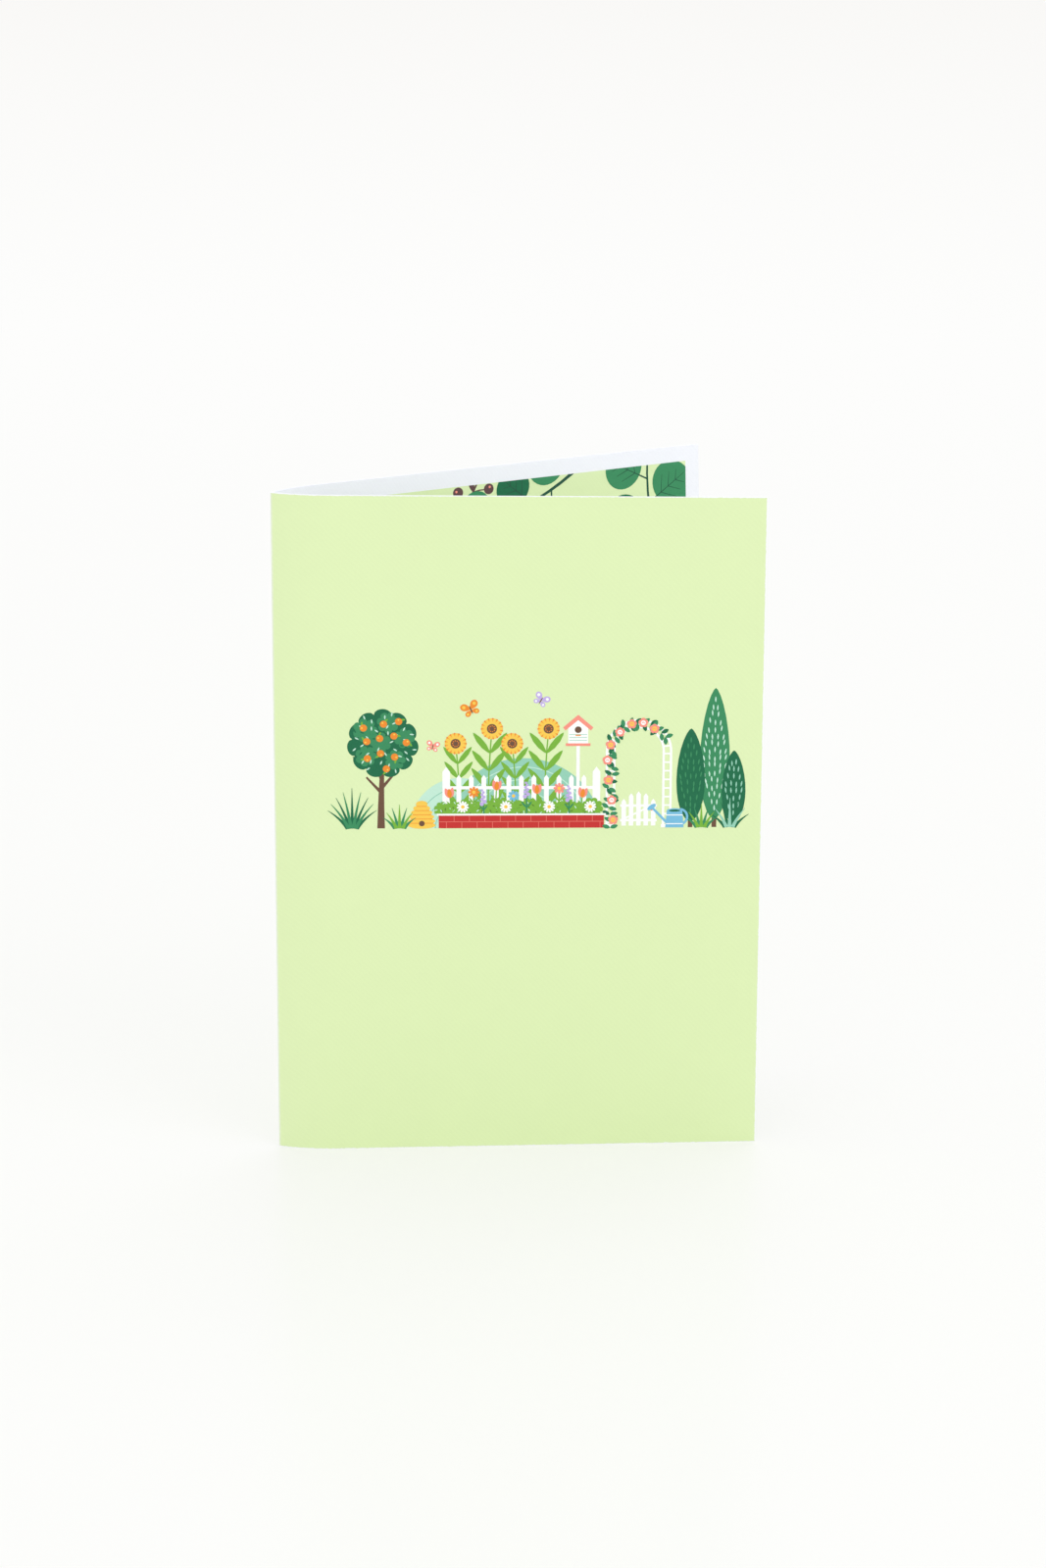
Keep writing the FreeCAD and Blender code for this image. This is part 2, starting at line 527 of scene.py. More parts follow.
class Drawing:
    """Flat shapes of ink on one side of a panel, in millimetres across from the fold and up from the foot.

    A shape on a higher layer lies over those below it. Shapes that overlap on one layer take steps of it.
    """

    LAYER = 0.008
    STEPS = 8

    def __init__(self):
        self.bm = bmesh.new()
        self.inks = []
        self.painted = []

    def free_step(self, layer, spots):
        """The lowest step of a layer that no earlier shape takes near these spots."""
        left, right = min(spot.x for spot in spots), max(spot.x for spot in spots)
        low, high = min(spot.y for spot in spots), max(spot.y for spot in spots)
        taken = {
            step for other, start, end, foot, top, step in self.painted
            if other == layer and start < right and left < end and foot < high and low < top}
        step = next((step for step in range(self.STEPS - 1) if step not in taken), 0)
        self.painted.append((layer, left, right, low, high, step))
        return step

    def paint(self, verts, ink, layer, at):
        """Puts a new shape in its place, in an ink, on a layer."""
        if ink not in self.inks:
            self.inks.append(ink)
        for face in {face for vert in verts for face in vert.link_faces}:
            face.material_index = self.inks.index(ink)
        for vert in verts:
            vert.co = at @ vert.co
        step = self.free_step(layer, [vert.co for vert in verts])
        for vert in verts:
            vert.co.z = (layer + 1 + step / self.STEPS) * self.LAYER

    def disc(self, at, ink, layer, radius, squash=1.0, segments=20, lobes=0, depth=0.0):
        """A round spot, or an oval with a squash. Lobes cut into its rim by a share of its radius."""
        count = max(segments, 8 * lobes)
        verts = bmesh.ops.create_circle(self.bm, cap_ends=True, segments=count, radius=radius)["verts"]
        for vert in verts:
            turn = atan2(vert.co.x, vert.co.y)
            vert.co *= 1 - depth * (1 - sqrt(abs(cos(lobes * turn / 2))))
            vert.co.y *= squash
        self.paint(verts, ink, layer, at)

    def leaf(self, at, ink, layer, size, width, point=0.7, belly=1.0, segments=16):
        """A leaf from its stalk up to its tip. A belly over 1 widens it near the stalk."""
        verts = bmesh.ops.create_circle(self.bm, cap_ends=True, segments=segments, radius=1)["verts"]
        for vert in verts:
            side, share = vert.co.x, (1 + vert.co.y) / 2
            vert.co.x = copysign(abs(side) ** (1 + point), side) * width / 2
            vert.co.y = share ** belly * size
        self.paint(verts, ink, layer, at)

    def stroke(self, at, ink, layer, size, width, tip=None, bend=0.0, segments=None):
        """A pen stroke that starts upwards, bends to the right by degrees and narrows to its tip."""
        count = segments or max(1, round(abs(bend) / 12))
        tip = width if tip is None else tip
        verts = bmesh.ops.create_grid(self.bm, x_segments=1, y_segments=count, size=0.5)["verts"]
        turn = radians(bend) or 1e-6
        for vert in verts:
            side, share = vert.co.x, vert.co.y + 0.5
            heading, reach = turn * share, size / turn
            across = side * (width + (tip - width) * share)
            vert.co = (
                reach * (1 - cos(heading)) + across * cos(heading),
                reach * sin(heading) - across * sin(heading), 0)
        self.paint(verts, ink, layer, at)

    def shape(self, at, ink, layer, *corners):
        """A shape with a few straight sides."""
        verts = [self.bm.verts.new((x, y, 0)) for x, y in corners]
        self.bm.faces.new(verts)
        self.paint(verts, ink, layer, at)

    def finish(self, context, name, inside=False):
        """Gives the ink its thickness and lays it on the cover, or on the inside of the back panel."""
        fold = Fold(context.scene.card_sheet)
        bm = self.bm
        cut_lines(bm, X, fold.across_lines())
        cut_lines(bm, Y, fold.up_lines())
        thicken(bm, 0, -self.LAYER)
        side = -1 if inside else 1
        lay_on_sheet(bm, fold, lambda co: (side * co.x, co.y, side * (fold.thickness / 2 + co.z)))
        return new_piece(context, name, bm, [f"ink_{ink}" for ink in self.inks])


def print_motif(context, name, draw, *details):
    """Draws one motif and makes a piece of it."""
    art = Drawing()
    draw(art, *details)
    art.finish(context, name)


def bend_point(size, bend, share=1.0):
    """How far a bent stroke has gone, across and up, at a share of its length."""
    turn = radians(bend) or 1e-6
    return size / turn * (1 - cos(turn * share)), size / turn * sin(turn * share)


def daisy(art, at, ink, layer, radius, count=11, heart="yellow"):
    """A round flower with many petals."""
    art.disc(at, ink, layer, radius, lobes=count, depth=0.5)
    art.disc(at, heart, layer + 1, radius * 0.3, segments=14)


def sunflower(art, at, layer):
    """A wide flower with two rings of petals round a dark, seeded heart."""
    art.disc(at, "orange", layer, 2.9, lobes=15, depth=0.3)
    art.disc(at @ place(0, 0, 12), "yellow", layer + 1, 2.85, lobes=15, depth=0.34)
    art.disc(at, "bark", layer + 2, 1.3, segments=24)
    for index in range(9):
        seed = at @ place(0, 0, 40 * index) @ place(0, 0.78)
        art.disc(seed, "orange", layer + 3, 0.17, segments=8)


def tulip(art, at, ink, light, layer, size):
    """A cup of three petals."""
    for turn in (-20, 20):
        art.leaf(at @ place(0, 0, turn), ink, layer, size, size * 0.5, belly=1.25)
    art.leaf(at, light, layer + 1, size * 0.86, size * 0.42, belly=1.2)


def rose(art, at, ink, light, layer, size):
    """A round flower of wrapped petals."""
    art.disc(at, ink, layer, size, lobes=5, depth=0.22)
    art.disc(at, light, layer + 1, size * 0.5, segments=16)
    fold = at @ place(-size * 0.24, -size * 0.1)
    art.stroke(fold, ink, layer + 2, size * 0.75, size * 0.14, bend=200)


def flower_stem(art, at, layer, height, bend=0.0, leaves=2, ink="fresh"):
    """A stalk with pairs of narrow leaves. It gives the place of the flower at its top."""
    art.stroke(at, ink, layer, height, 0.42, 0.3, bend=bend, segments=4)
    for index in range(leaves):
        joint = bend_point(height, bend, (index + 0.6) / (leaves + 1))
        for side in (-1, 1):
            leaf = at @ place(*joint, side * 38)
            art.leaf(leaf, ink, layer, height * 0.3, height * 0.07, segments=10)
    return at @ place(*bend_point(height, bend), -bend)


def lavender(art, at, layer, height):
    """A spike of small round flowers."""
    top = flower_stem(art, at, layer, height, leaves=1, ink="leaf")
    for index in range(7):
        side = 0.42 if index % 2 else -0.42
        floret = top @ place(side * (1 - index / 9), index * 0.62 - 2.2)
        art.disc(floret, "lilac", layer + 1, 0.56 - index * 0.04, segments=10)


def tuft(art, at, inks, layer, count, height, width, fan=70.0):
    """A fan of arching blades, in turn in each ink."""
    for index in range(count):
        share, turn = index / (count - 1) - 0.5, index % len(inks)
        size = height * (1 - abs(share) * 0.7)
        art.stroke(
            at @ place(share * width * 2.4, 0, -share * fan), inks[turn], layer + turn, size, width,
            width * 0.08, bend=share * 46, segments=6)


def spiral(at, count, radius, start=0.0):
    """Places spread evenly over a round crown, as seeds are in a sunflower."""
    for index in range(count):
        reach = radius * sqrt((index + 0.5) / count)
        yield index, at @ place(0, 0, GOLDEN_TURN * index + start) @ place(0, reach)


def fruit_tree(art, at, dice):
    """A round-crowned tree with lit clumps of leaves and orange fruit."""
    art.stroke(at, "bark", FAR, 17, 2.0, 1.0, bend=3, segments=3)
    for turn, height, size in ((34, 9.5, 6.0), (-32, 11.0, 5.5), (16, 13.0, 4.0)):
        art.stroke(at @ place(0.3, height, turn), "bark", FAR + 1, size, 0.9, 0.5, bend=-turn * 0.5)
    crown = at @ place(0.6, 23)
    art.disc(crown, "deep", FAR + 2, 9.3, segments=132, lobes=11, depth=0.14)
    clumps = (
        (-4.6, 3.6, 3.2), (1.4, 5.6, 2.9), (5.6, 1.4, 2.7), (-0.6, 0.2, 2.8), (3.2, -4.4, 2.7),
        (-4.4, -3.4, 2.8))
    for x, y, radius in clumps:
        art.disc(crown @ place(x, y, 20 * x), "leaf", FAR + 3, radius, lobes=7, depth=0.24)
    for index, spot in spiral(crown, 52, 8.0):
        ink, leaf = "mint" if index % 3 else "deep", spot @ place(0, 0, dice.uniform(-40, 40))
        art.leaf(leaf, ink, FAR + 4, 1.2, 0.42, segments=8)
    for index, spot in spiral(crown, 11, 7.4, 30):
        art.leaf(spot @ place(0.1, 0.6, -50), "fresh", FAR + 5, 1.3, 0.6, segments=8)
        art.disc(spot, "orange", FAR + 6, 0.95, segments=18)
        art.disc(spot @ place(-0.28, 0.32), "yellow", FAR + 7, 0.26, segments=8)


def cypress(art, at, ink, light, layer, height, width, dice):
    """A tall pointed tree with rows of short upright strokes."""
    art.stroke(at, "bark", layer, height * 0.12, width * 0.16)
    tree = at @ place(0, height * 0.06)
    art.leaf(tree, ink, layer + 1, height * 0.94, width, point=0.35, belly=1.2, segments=28)
    rows = round(height / 2.1)
    for row in range(1, rows - 1):
        share = row / rows
        room = width * 0.92 * sin(pi * share ** 0.82) ** 1.25
        count = max(1, round(room / 1.5))
        for index in range(count):
            x = (index - (count - 1) / 2) * room / (count + 0.4)
            y = height * 0.94 * share + dice.uniform(-0.4, 0.4)
            art.leaf(tree @ place(x, y, -x * 5), light, layer + 2, 1.6, 0.42, segments=8)


def hill(art, at, ink, lines, layer, radius, squash):
    """A far hill, domed, with contour rows. It is trimmed at the ground."""
    art.disc(at, ink, layer, radius, squash, segments=96)
    for index in range(1, 5):
        size = radius * (1 - index * 0.17)
        start = at @ place(-size, 0)
        art.stroke(start, lines, layer + 1, pi * size, 0.26, bend=180, segments=40)


def picket(art, at, height, width, layer):
    """One pointed board of a fence or a gate."""
    side, shoulder = width / 2, height - width * 0.7
    art.shape(at, "white", layer, (-side, 0), (side, 0), (side, shoulder), (0, height), (-side, shoulder))


def fence(art, start, end, ground, spacing=3.25, height=14.5):
    """A picket fence between two places, with taller posts at its ends."""
    for rail in (5.0, 11.0):
        art.stroke(place(start, ground + rail, -90), "white", FENCE, end - start, 0.85)
    count = round((end - start) / spacing)
    for index, x in enumerate(steps(start, end, count)):
        post = index in (0, count)
        picket(art, place(x, ground), height + (2.2 if post else 0), 2.0 if post else 1.25, FENCE + 1)


def arbour(art, at, height=21.0, half_width=6.4, depth=1.9):
    """A white garden arch: two ladders of slats that meet in a double hoop."""
    slat = FENCE + 1
    for side in (-1, 1):
        for reach in (half_width, half_width + depth):
            art.stroke(at @ place(side * reach, 0), "white", FENCE, height, 0.62)
        for step in steps(1.4, height - 0.8, 8):
            art.stroke(at @ place(side * half_width, step, -90 * side), "white", slat, depth, 0.46)
        foot = at @ place(side * (half_width + depth / 2), 0)
        art.shape(foot, "white", slat, (-1.5, 0), (1.5, 0), (1.5, 0.9), (-1.5, 0.9))
    for reach in (half_width, half_width + depth):
        hoop = at @ place(-reach, height)
        art.stroke(hoop, "white", FENCE, pi * reach, 0.62, bend=180, segments=28)
    for turn in steps(-80, 80, 12):
        spoke = at @ place(0, height) @ place(0, 0, turn) @ place(0, half_width)
        art.stroke(spoke, "white", slat, depth, 0.46)


def gate(art, at, width=9.6):
    """A low gate of five boards that rise to the middle, with a brace and a round latch."""
    for height in (2.0, 6.0):
        art.stroke(at @ place(-width / 2, height, -90), "white", BEHIND, width, 0.7)
    art.stroke(at @ place(-width / 2 + 0.6, 2.2, -64), "white", BEHIND, width * 0.95, 0.5)
    for index in range(5):
        x = (index - 2) * width / 5
        picket(art, at @ place(x, 0.5), 9.4 - 0.55 * x * x / 4, 1.2, BEHIND + 1)
    art.disc(at @ place(width / 2 - 1.4, 5.0), "orange", BEHIND + 2, 0.36, segments=12)


def climbing_rose(art, at, dice, height=21.0, reach=7.4):
    """A rose that climbs one side of the arch and runs over its hoop."""
    route = [(-reach, share * height) for share in steps(0.0, 0.95, 11)]
    for turn in steps(0, radians(150), 15):
        route.append((-reach * cos(turn), height + reach * sin(turn)))
    for index, (x, y) in enumerate(route):
        wave = 0.8 * sin(index * 1.7)
        for side in (-1, 1):
            turn = side * 70 + dice.uniform(-30, 30) - 5 * index
            ink = "leaf" if (index + side) % 3 else "deep"
            art.leaf(at @ place(x + wave * 0.5, y, turn), ink, NEAR, 2.1, 1.15, segments=12)
        if index % 3 == 1:
            heart = "yellow" if index % 2 else "white"
            rose(art, at @ place(x + wave, y + 0.3), "coral", heart, NEAR + 1, 1.3)


def bird_house(art, at):
    """A small white house on a pole, with a coral roof."""
    art.stroke(at, "white", BEHIND, 24, 0.9)
    home = at @ place(0, 23)
    trimming, front = BEHIND + 2, BEHIND + 3
    art.shape(home, "white", BEHIND + 1, (-2.6, 0), (2.6, 0), (2.6, 4.4), (0, 6.6), (-2.6, 4.4))
    for side in (-1, 1):
        art.shape(home, "coral", trimming, (0, 6.3), (0, 7.7), (side * 3.9, 4.3), (side * 3.3, 3.5))
    for height in (0.8, 1.6, 2.4):
        art.stroke(home @ place(-2.3, height, -90), "mist", trimming, 4.6, 0.16)
    art.disc(home @ place(0, 3.7), "bark", front, 0.9, segments=18)
    art.stroke(home @ place(-0.7, 2.2, -90), "orange", front, 1.4, 0.32)
    art.shape(home, "coral", trimming, (-3.2, -0.7), (3.2, -0.7), (3.2, 0), (-3.2, 0))


def garden_wall(art, start, end, ground, brick=4.0):
    """A low wall of two courses of brick, under a thin white coping."""
    course_height = WALL_HEIGHT / 2
    middle = place(start, ground + course_height, -90)
    art.stroke(middle, "brick", NEAR, end - start, WALL_HEIGHT)
    art.stroke(middle, "mortar", NEAR + 1, end - start, 0.2)
    coping = place(start - 0.5, ground + WALL_HEIGHT + COPING_RISE, -90)
    art.stroke(coping, "white", NEAR + 2, end - start + 1, COPING)
    for course in (0, 1):
        x = start + brick * (0.5 + course / 2)
        while x < end:
            art.stroke(place(x, ground + course * course_height), "mortar", NEAR + 1, course_height, 0.18)
            x += brick


def hive(art, at):
    """A straw bee hive of stacked bands."""
    for index in range(6):
        width, up = 3.6 * cos(radians(13 * index)), index * 1.15
        art.disc(at @ place(0, 0.8 + up), "yellow", BEHIND, width, 0.78 / width * 1.2, segments=24)
        if index:
            seam = at @ place(-width * 0.86, 0.22 + up, -90)
            art.stroke(seam, "orange", BEHIND + 1, width * 1.72, 0.16)
    art.disc(at @ place(0, 1.3), "bark", BEHIND + 2, 0.75, segments=16)


def watering_can(art, at):
    """A blue can with a bow handle, a long spout and a rose."""
    art.stroke(at @ place(-1.9, 1.2, 50), "sky", NEAR, 6.0, 0.7, 0.6, bend=14)
    art.stroke(at @ place(1.9, 0.9, -70), "sky", NEAR, 5.6, 0.6, bend=-150, segments=12)
    art.shape(at, "sky", NEAR + 1, (-2.4, 0), (2.4, 0), (2.0, 4.6), (-2.0, 4.6))
    art.disc(at @ place(-6.0, 5.6, 36), "sky", NEAR + 1, 1.3, 0.45)
    art.disc(at @ place(0, 4.6), "sky", NEAR + 2, 2.0, 0.3)
    art.disc(at @ place(0, 4.6), "deep", NEAR + 3, 1.5, 0.2)
    for height in (1.0, 3.4):
        art.stroke(at @ place(-2.2, height, -90), "white", NEAR + 2, 4.4, 0.26)


def butterfly(art, at, ink, light):
    """Two pairs of spotted wings on a thin body."""
    for side in (-1, 1):
        for up, turn, size in ((0.2, 52, 1.0), (-0.1, 118, 0.74)):
            wing = at @ place(0, up, -side * turn, size)
            art.leaf(wing, ink, FAR, 2.6, 1.75, point=0.2, belly=0.7)
            art.disc(wing @ place(0, 1.7), light, FAR + 1, 0.42, segments=12)
    art.leaf(at @ place(0, -1.1), "bark", FAR + 2, 2.3, 0.36, segments=8)


def hedge(art, start, end, ground, dice):
    """Rounded clumps of leaves, trimmed along the top of the wall."""
    x, odd = start, 0
    while x < end:
        radius = dice.uniform(2.0, 3.0)
        clump = place(x, ground + HEDGE_FOOT + radius * 0.62, dice.uniform(0, 60))
        art.disc(clump, "fresh", NEAR + odd, radius, lobes=9, depth=0.2)
        for index in range(6):
            spot = clump @ place(0, 0, GOLDEN_TURN * index) @ place(0, radius * 0.32 * sqrt(index))
            leaf = spot @ place(0, 0, dice.uniform(0, 360))
            art.leaf(leaf, ("olive", "mint")[index % 2], NEAR + 2, 0.95, 0.32, segments=8)
        x += radius * 1.3
        odd = 1 - odd
    trim(art.bm, Y * (ground + WALL_TOP), Y)


def round_leaf_branch(art, at, layer, size, count, radius, first_side=1, bend=34.0):
    """A branch with round veined leaves on either side, as it would grow in an arc."""
    art.stroke(at, "shade", layer, size, 0.9, 0.4, bend=bend, segments=10)
    for index in range(count):
        share = (index + 0.7) / count
        grown = radius * (1.12 - 0.45 * share)
        side = first_side if index % 2 else -first_side
        stalk = at @ place(*bend_point(size, bend, share), -bend * share - side * 62)
        art.stroke(stalk, "shade", layer, grown * 0.6, 0.45, 0.35)
        ink, blade = "deep" if index % 3 == 2 else "leaf", stalk @ place(0, grown * 1.35)
        art.disc(blade, ink, layer + 1 + index % 2, grown, 0.9, segments=32)
        base = stalk @ place(0, grown * 0.45)
        art.stroke(base, "shade", layer + 3, grown * 1.6, 0.26, 0.12)
        for pair in range(3):
            for lean in (-1, 1):
                vein = base @ place(0, grown * (0.25 + 0.42 * pair), lean * 44)
                reach = grown * (0.78 - 0.16 * pair)
                art.stroke(vein, "shade", layer + 3, reach, 0.2, 0.1, bend=-lean * 16)


def berry_twig(art, at, layer, size, count, bend=-24.0):
    """A dark twig with short forks that each hold a round berry and a narrow leaf."""
    art.stroke(at, "plum", layer, size, 0.75, 0.3, bend=bend, segments=8)
    for index in range(count):
        share = (index + 0.8) / count
        joint = bend_point(size, bend, share)
        side = 1 if index % 2 else -1
        reach = 4.6 - 1.6 * share
        fork = at @ place(*joint, -bend * share + side * 46)
        art.stroke(fork, "plum", layer, reach, 0.42, 0.3, bend=-side * 20)
        berry = fork @ place(-side * 0.8, reach + 0.6)
        art.disc(berry, "plum", layer + 1, 1.55 - 0.3 * share, segments=20)
        art.disc(berry @ place(-0.4, 0.4), "coral", layer + 2, 0.34, segments=10)
        leaf = at @ place(*joint, -bend * share - side * 40)
        art.leaf(leaf, "plum", layer + 1, 5.6 - 1.5 * share, 1.7, point=0.8)


class CARD_OT_stage(bpy.types.Operator):
    """Makes the floor, the lights and the camera"""

    bl_idname = "card.stage"
    bl_label = "Stage"

    def execute(self, context):
        settings = context.scene.card_stage
        make_floor(context, settings)
        make_sky(context, settings)
        for name, spot, power in SOFTBOXES:
            make_softbox(context, name, spot, getattr(settings, power), settings.softbox)
        make_camera(context, settings)
        context.scene.view_settings.view_transform = "Standard"
        return {"FINISHED"}


def seen_directly(tree):
    """1 on the rays that show the backdrop itself, in the picture or mirrored or seen through."""
    rays = add_node(tree, "ShaderNodeLightPath").outputs
    indirect = maths(tree, "MAXIMUM", rays["Is Glossy Ray"], rays["Is Transmission Ray"])
    return maths(tree, "MAXIMUM", rays["Is Camera Ray"], indirect)


def floor_material(settings):
    """White paper that fades with distance into the backdrop, and the backdrop into its far tone: painted
    shade that darkens it in the distance.
    """
    made, tree = new_material("studio_floor")
    coordinates = add_node(tree, "ShaderNodeTexCoord").outputs["Object"]
    distance = add_node(
        tree, "ShaderNodeVectorMath", {"operation": "LENGTH"}, _0=coordinates).outputs["Value"]
    clear = settings.clear_radius
    fade = add_node(
        tree, "ShaderNodeMapRange", {"interpolation_type": "SMOOTHSTEP"}, Value=distance,
        From_Min=clear * FADE_START, From_Max=clear, To_Min=NEAR_BACKDROP).outputs[0]
    # Painted shade: the backdrop darkens from its near colour to its far one with distance
    depth = spread(tree, distance, 0.0, 1.0, clear, clear * FAR_END)
    tone = add_node(
        tree, "ShaderNodeMix", {"data_type": "RGBA"}, _0=depth, _6=(*settings.backdrop, 1),
        _7=(*settings.shaded_far_backdrop, 1)).outputs[2]
    cloud = spread(tree, noise(tree, coordinates, CLOUDS), CLOUD_SHARE, 1.0)
    paper = add_node(
        tree, "ShaderNodeBsdfPrincipled", Base_Color=scaled(tree, settings.floor[:], cloud),
        Roughness=FLOOR_ROUGHNESS)
    mixed = add_node(
        tree, "ShaderNodeMixShader", _0=maths(tree, "MULTIPLY", fade, seen_directly(tree)),
        _1=paper.outputs[0], _2=add_node(tree, "ShaderNodeEmission", Color=tone).outputs[0])
    add_node(tree, "ShaderNodeOutputMaterial", Surface=mixed.outputs[0])
    return made


def make_floor(context, settings):
    """A wide white floor that takes the card's shadow, just under its foot."""
    bm = bmesh.new()
    bmesh.ops.create_circle(bm, cap_ends=True, segments=96, radius=settings.floor_radius)
    bmesh.ops.translate(bm, verts=bm.verts, vec=-Z * FLOOR_DROP * MM)
    mesh = bpy.data.meshes.new("floor")
    bm.to_mesh(mesh)
    bm.free()
    mesh.materials.append(floor_material(settings))
    floor = bpy.data.objects.new("floor", mesh)
    context.scene.collection.objects.link(floor)


def make_sky(context, settings):
    """Even light from all round, in front of which the backdrop shows at its far colour, a painted shade
    darker than near the card.
    """
    world = bpy.data.worlds.new("studio")
    world.use_nodes = True
    tree = world.node_tree
    tree.nodes.clear()
    light, backdrop = (
        add_node(tree, "ShaderNodeBackground", Color=(*tint, 1), Strength=strength).outputs[0]
        for tint, strength in ((settings.sky, settings.sky_strength), (settings.shaded_far_backdrop, 1.0)))
    mixed = add_node(tree, "ShaderNodeMixShader", _0=seen_directly(tree), _1=light, _2=backdrop)
    add_node(tree, "ShaderNodeOutputWorld", Surface=mixed.outputs[0])
    context.scene.world = world


def make_softbox(context, name, spot, power, size):
    """A large soft lamp, turned to the middle of the card."""
    lamp = bpy.data.lights.new(name, "AREA")
    lamp.shape = "SQUARE"
    lamp.size = size
    lamp.energy = power
    box = bpy.data.objects.new(name, lamp)
    context.scene.collection.objects.link(box)
    box.location = spot
    middle = Vector((0.06, 0.02, CARD_HEIGHT * MM / 2))
    box.rotation_euler = (middle - box.location).to_track_quat("-Z", "Y").to_euler()


def make_camera(context, settings):
    """The camera where the card was seen from."""
    lens = bpy.data.cameras.new("camera")
    lens.sensor_fit = "AUTO"
    lens.sensor_width = SENSOR
    lens.lens = settings.lens
    camera = bpy.data.objects.new("camera", lens)
    context.scene.collection.objects.link(camera)
    camera.matrix_world = (
        Matrix.Translation(settings.camera_place)
        @ Matrix.Rotation(-settings.camera_heading, 4, "Z")
        @ Matrix.Rotation(pi / 2 - settings.camera_pitch, 4, "X")
        @ Matrix.Rotation(settings.camera_roll, 4, "Z"))
    context.scene.camera = camera


def field_sides(settings):
    """Where the field of the inside page ends: by the fold, the free edge, the foot and both top corners."""
    width, side, foot, fold_border, edge_border = in_millimetres(
        settings, "panel_width", "side_border", "foot_border", "top_border_at_fold", "top_border_at_edge")
    return side, width - side, foot, CARD_HEIGHT - fold_border, CARD_HEIGHT - edge_border


class CARD_OT_board(bpy.types.Operator):
    """Makes the folded board with its printed outside and the bordered field of its inside page"""

    bl_idname = "card.board"
    bl_label = "Folded board"

    def execute(self, context):
        fold = Fold(context.scene.card_sheet)
        gutter, edge, foot, fold_top, edge_top = field_sides(context.scene.card_sheet)
        bm = bmesh.new()
        bmesh.ops.create_grid(bm, x_segments=1, y_segments=1, size=1)
        bmesh.ops.scale(bm, vec=(fold.width, CARD_HEIGHT / 2, 1), verts=bm.verts)
        bmesh.ops.translate(bm, vec=Y * CARD_HEIGHT / 2, verts=bm.verts)
        across = fold.across_lines()
        cut_lines(bm, X, [-x for x in across + [gutter, edge]] + across)
        cut_lines(bm, Y, [foot] + fold.up_lines())
        cut(bm, Y * fold_top, Vector((edge_top - fold_top, fold.width, 0)))
        thicken(bm, fold.thickness / 2, -fold.thickness / 2)
        cover, field, bare = 0, 1, 2
        for face in bm.faces:
            middle, facing = face.calc_center_median(), round(face.normal.z)
            level = fold_top + (fold_top - edge_top) * middle.x / fold.width
            in_field = gutter < -middle.x < edge and foot < middle.y < level
            inner = field if facing == -1 and in_field else bare
            face.material_index = cover if facing == 1 else inner
        lay_on_sheet(bm, fold, lambda co: co[:])
        board = new_piece(context, "folded_board", bm, ("cover_print", "ink_lime", "white_board"))
        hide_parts(NODE)
        return {"FINISHED"}


class CARD_OT_hills(bpy.types.Operator):
    """Prints the far hills"""

    bl_idname = "card.hills"
    bl_label = "Hills"

    def execute(self, context):
        ground, start = in_millimetres(context.scene.card_garden, "ground", "fence_start")
        art = Drawing()
        hill(art, place(start + 3.5, ground), "mint", "mist", FAR, 13, 1.05)
        hill(art, place(start + 20, ground), "mist", "mint", FAR + 2, 20, 0.95)
        trim(art.bm, Y * ground, Y)
        art.finish(context, "cover_hills")
        return {"FINISHED"}


class CARD_OT_trees(bpy.types.Operator):
    """Prints the fruit tree and the cypresses"""

    bl_idname = "card.trees"
    bl_label = "Trees"

    def execute(self, context):
        ground, tree, first = in_millimetres(context.scene.card_garden, "ground", "tree", "cypresses")
        dice = random.Random(5)
        print_motif(context, "cover_fruit_tree", fruit_tree, place(tree, ground), dice)
        art = Drawing()
        for x, ink, light, layer, height, width in (
                (6.2, "leaf", "mint", FAR, 38, 7.8), (0, "deep", "leaf", FAR + 3, 27, 7.4),
                (11.2, "deep", "mist", FAR + 3, 21, 6.2)):
            cypress(art, place(first + x, ground), ink, light, layer, height, width, dice)
        art.finish(context, "cover_cypresses")
        return {"FINISHED"}


class CARD_OT_fence(bpy.types.Operator):
    """Prints the picket fence, the arbour with its rose and gate, and the bird house"""

    bl_idname = "card.fence"
    bl_label = "Fence and arbour"

    def execute(self, context):
        ground, start, end, arch, house = in_millimetres(
            context.scene.card_garden, "ground", "fence_start", "fence_end", "arbour", "bird_house")
        arch = place(arch, ground)
        print_motif(context, "cover_fence", fence, start, end, ground)
        print_motif(context, "cover_arbour", arbour, arch)
        print_motif(context, "cover_climbing_rose", climbing_rose, arch, random.Random(11))
        print_motif(context, "cover_gate", gate, arch)
        print_motif(context, "cover_bird_house", bird_house, place(house, ground))
        return {"FINISHED"}


